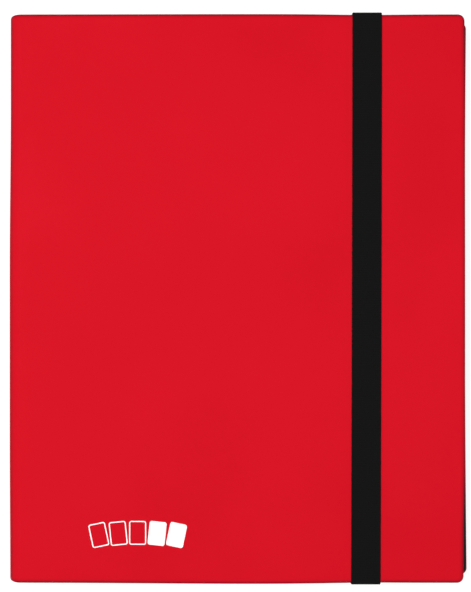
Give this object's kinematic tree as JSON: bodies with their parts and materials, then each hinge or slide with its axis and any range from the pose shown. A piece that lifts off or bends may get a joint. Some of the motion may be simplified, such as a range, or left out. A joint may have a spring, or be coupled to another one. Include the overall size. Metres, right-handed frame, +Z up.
{
  "type": "trading card binder",
  "caption": "Slim side-loading card binder: a smooth plastic cover folded round the spine, clear nine-pocket leaves on a binding bar, and an elastic strap that holds it shut.",
  "frame": {"origin": "centre of the base, on the back cover's outer face, with the binder lying closed on its back", "axes": "+Z up through the front cover, +Y towards the top of the pages, +X from the spine to the fore-edge"},
  "size_m": [0.2602, 0.3208, 0.0262],
  "materials": {
    "cover": "smooth matte polypropylene",
    "lining": "fine matte black polypropylene",
    "binding": "matte black polypropylene",
    "page": "satin black polypropylene sheet",
    "film": "clear polypropylene film",
    "print": "white screen print",
    "elastic": "woven black elastic"
  },
  "bodies": {
    "back_cover": {"back_cover_panel": "cover", "back_cover_lining": "lining", "strap_leg_top": "elastic", "strap_leg_bottom": "elastic", "strap_tail_top": "elastic", "strap_tail_bottom": "elastic", "strap_end_plates": "binding"},
    "spine": {"spine_panel": "cover", "rear_fold": "cover", "front_fold": "cover", "spine_lining": "lining", "page_binding_bar": "binding", "page_roots": "page"},
    "front_cover": {"front_cover_panel": "cover", "front_cover_lining": "lining"},
    "strap": {"strap_band": "elastic"},
    "page_01": {"page_01_sheet": "page", "page_01_pockets": "film"},
    "page_02": {"page_02_sheet": "page", "page_02_pockets": "film"},
    "page_03": {"page_03_sheet": "page", "page_03_pockets": "film"},
    "page_04": {"page_04_sheet": "page", "page_04_pockets": "film"},
    "page_05": {"page_05_sheet": "page", "page_05_pockets": "film"},
    "page_06": {"page_06_sheet": "page", "page_06_pockets": "film"},
    "page_07": {"page_07_sheet": "page", "page_07_pockets": "film"},
    "page_08": {"page_08_sheet": "page", "page_08_pockets": "film"},
    "page_09": {"page_09_sheet": "page", "page_09_pockets": "film"},
    "page_10": {"page_10_sheet": "page", "page_10_pockets": "film"},
    "page_11": {"page_11_sheet": "page", "page_11_pockets": "film"},
    "page_12": {"page_12_sheet": "page", "page_12_pockets": "film"},
    "page_13": {"page_13_sheet": "page", "page_13_pockets": "film"},
    "page_14": {"page_14_sheet": "page", "page_14_pockets": "film"},
    "page_15": {"page_15_sheet": "page", "page_15_pockets": "film"},
    "page_16": {"page_16_sheet": "page", "page_16_pockets": "film"},
    "page_17": {"page_17_sheet": "page", "page_17_pockets": "film"},
    "page_18": {"page_18_sheet": "page", "page_18_pockets": "film"},
    "page_19": {"page_19_sheet": "page", "page_19_pockets": "film"},
    "page_20": {"page_20_sheet": "page", "page_20_pockets": "film"}
  },
  "joints": [
    {"name": "cover_fold", "type": "hinge", "parent": "spine", "child": "front_cover", "pos_m": [-0.12805, 0, 0.02335], "axis": [0, -1, 0], "range_deg": [0, 90]},
    {"name": "spine_fold", "type": "hinge", "parent": "back_cover", "child": "spine", "pos_m": [-0.12805, 0, 0.00205], "axis": [0, -1, 0], "range_deg": [0, 90]},
    {"name": "strap_release", "type": "hinge", "parent": "back_cover", "child": "strap", "pos_m": [0.0711, 0, 0.0127], "axis": [0, 1, 0], "range_deg": [0, 180], "deforming": ["strap_leg_top", "strap_leg_bottom", "strap_band"]},
    {"name": "page_01_turn", "type": "hinge", "parent": "spine", "child": "page_01", "pos_m": [-0.1191, 0, 0.02315], "axis": [0, -1, 0], "range_deg": [0, 82]},
    {"name": "page_02_turn", "type": "hinge", "parent": "spine", "child": "page_02", "pos_m": [-0.1191, 0, 0.02205], "axis": [0, -1, 0], "range_deg": [0, 79.6]},
    {"name": "page_03_turn", "type": "hinge", "parent": "spine", "child": "page_03", "pos_m": [-0.1191, 0, 0.02095], "axis": [0, -1, 0], "range_deg": [0, 77.2]},
    {"name": "page_04_turn", "type": "hinge", "parent": "spine", "child": "page_04", "pos_m": [-0.1191, 0, 0.01985], "axis": [0, -1, 0], "range_deg": [0, 74.8]},
    {"name": "page_05_turn", "type": "hinge", "parent": "spine", "child": "page_05", "pos_m": [-0.1191, 0, 0.01875], "axis": [0, -1, 0], "range_deg": [0, 72.4]},
    {"name": "page_06_turn", "type": "hinge", "parent": "spine", "child": "page_06", "pos_m": [-0.1191, 0, 0.01765], "axis": [0, -1, 0], "range_deg": [0, 70]},
    {"name": "page_07_turn", "type": "hinge", "parent": "spine", "child": "page_07", "pos_m": [-0.1191, 0, 0.01655], "axis": [0, -1, 0], "range_deg": [0, 67.6]},
    {"name": "page_08_turn", "type": "hinge", "parent": "spine", "child": "page_08", "pos_m": [-0.1191, 0, 0.01545], "axis": [0, -1, 0], "range_deg": [0, 65.2]},
    {"name": "page_09_turn", "type": "hinge", "parent": "spine", "child": "page_09", "pos_m": [-0.1191, 0, 0.01435], "axis": [0, -1, 0], "range_deg": [0, 62.8]},
    {"name": "page_10_turn", "type": "hinge", "parent": "spine", "child": "page_10", "pos_m": [-0.1191, 0, 0.01325], "axis": [0, -1, 0], "range_deg": [0, 60.4]},
    {"name": "page_11_turn", "type": "hinge", "parent": "spine", "child": "page_11", "pos_m": [-0.1191, 0, 0.01215], "axis": [0, -1, 0], "range_deg": [-60.4, 0]},
    {"name": "page_12_turn", "type": "hinge", "parent": "spine", "child": "page_12", "pos_m": [-0.1191, 0, 0.01105], "axis": [0, -1, 0], "range_deg": [-62.8, 0]},
    {"name": "page_13_turn", "type": "hinge", "parent": "spine", "child": "page_13", "pos_m": [-0.1191, 0, 0.00995], "axis": [0, -1, 0], "range_deg": [-65.2, 0]},
    {"name": "page_14_turn", "type": "hinge", "parent": "spine", "child": "page_14", "pos_m": [-0.1191, 0, 0.00885], "axis": [0, -1, 0], "range_deg": [-67.6, 0]},
    {"name": "page_15_turn", "type": "hinge", "parent": "spine", "child": "page_15", "pos_m": [-0.1191, 0, 0.00775], "axis": [0, -1, 0], "range_deg": [-70, 0]},
    {"name": "page_16_turn", "type": "hinge", "parent": "spine", "child": "page_16", "pos_m": [-0.1191, 0, 0.00665], "axis": [0, -1, 0], "range_deg": [-72.4, 0]},
    {"name": "page_17_turn", "type": "hinge", "parent": "spine", "child": "page_17", "pos_m": [-0.1191, 0, 0.00555], "axis": [0, -1, 0], "range_deg": [-74.8, 0]},
    {"name": "page_18_turn", "type": "hinge", "parent": "spine", "child": "page_18", "pos_m": [-0.1191, 0, 0.00445], "axis": [0, -1, 0], "range_deg": [-77.2, 0]},
    {"name": "page_19_turn", "type": "hinge", "parent": "spine", "child": "page_19", "pos_m": [-0.1191, 0, 0.00335], "axis": [0, -1, 0], "range_deg": [-79.6, 0]},
    {"name": "page_20_turn", "type": "hinge", "parent": "spine", "child": "page_20", "pos_m": [-0.1191, 0, 0.00225], "axis": [0, -1, 0], "range_deg": [-82, 0]}
  ],
  "couplings": [
    {"joint": "spine_fold", "follows": "cover_fold", "ratio": 1},
    {"joint": "strap_release", "follows": "cover_fold", "ratio": 2},
    {"joint": "page_01_turn", "follows": "cover_fold", "ratio": 0.91111},
    {"joint": "page_02_turn", "follows": "cover_fold", "ratio": 0.88444},
    {"joint": "page_03_turn", "follows": "cover_fold", "ratio": 0.85778},
    {"joint": "page_04_turn", "follows": "cover_fold", "ratio": 0.83111},
    {"joint": "page_05_turn", "follows": "cover_fold", "ratio": 0.80444},
    {"joint": "page_06_turn", "follows": "cover_fold", "ratio": 0.77778},
    {"joint": "page_07_turn", "follows": "cover_fold", "ratio": 0.75111},
    {"joint": "page_08_turn", "follows": "cover_fold", "ratio": 0.72444},
    {"joint": "page_09_turn", "follows": "cover_fold", "ratio": 0.69778},
    {"joint": "page_10_turn", "follows": "cover_fold", "ratio": 0.67111},
    {"joint": "page_11_turn", "follows": "cover_fold", "ratio": -0.67111},
    {"joint": "page_12_turn", "follows": "cover_fold", "ratio": -0.69778},
    {"joint": "page_13_turn", "follows": "cover_fold", "ratio": -0.72444},
    {"joint": "page_14_turn", "follows": "cover_fold", "ratio": -0.75111},
    {"joint": "page_15_turn", "follows": "cover_fold", "ratio": -0.77778},
    {"joint": "page_16_turn", "follows": "cover_fold", "ratio": -0.80444},
    {"joint": "page_17_turn", "follows": "cover_fold", "ratio": -0.83111},
    {"joint": "page_18_turn", "follows": "cover_fold", "ratio": -0.85778},
    {"joint": "page_19_turn", "follows": "cover_fold", "ratio": -0.88444},
    {"joint": "page_20_turn", "follows": "cover_fold", "ratio": -0.91111}
  ]
}
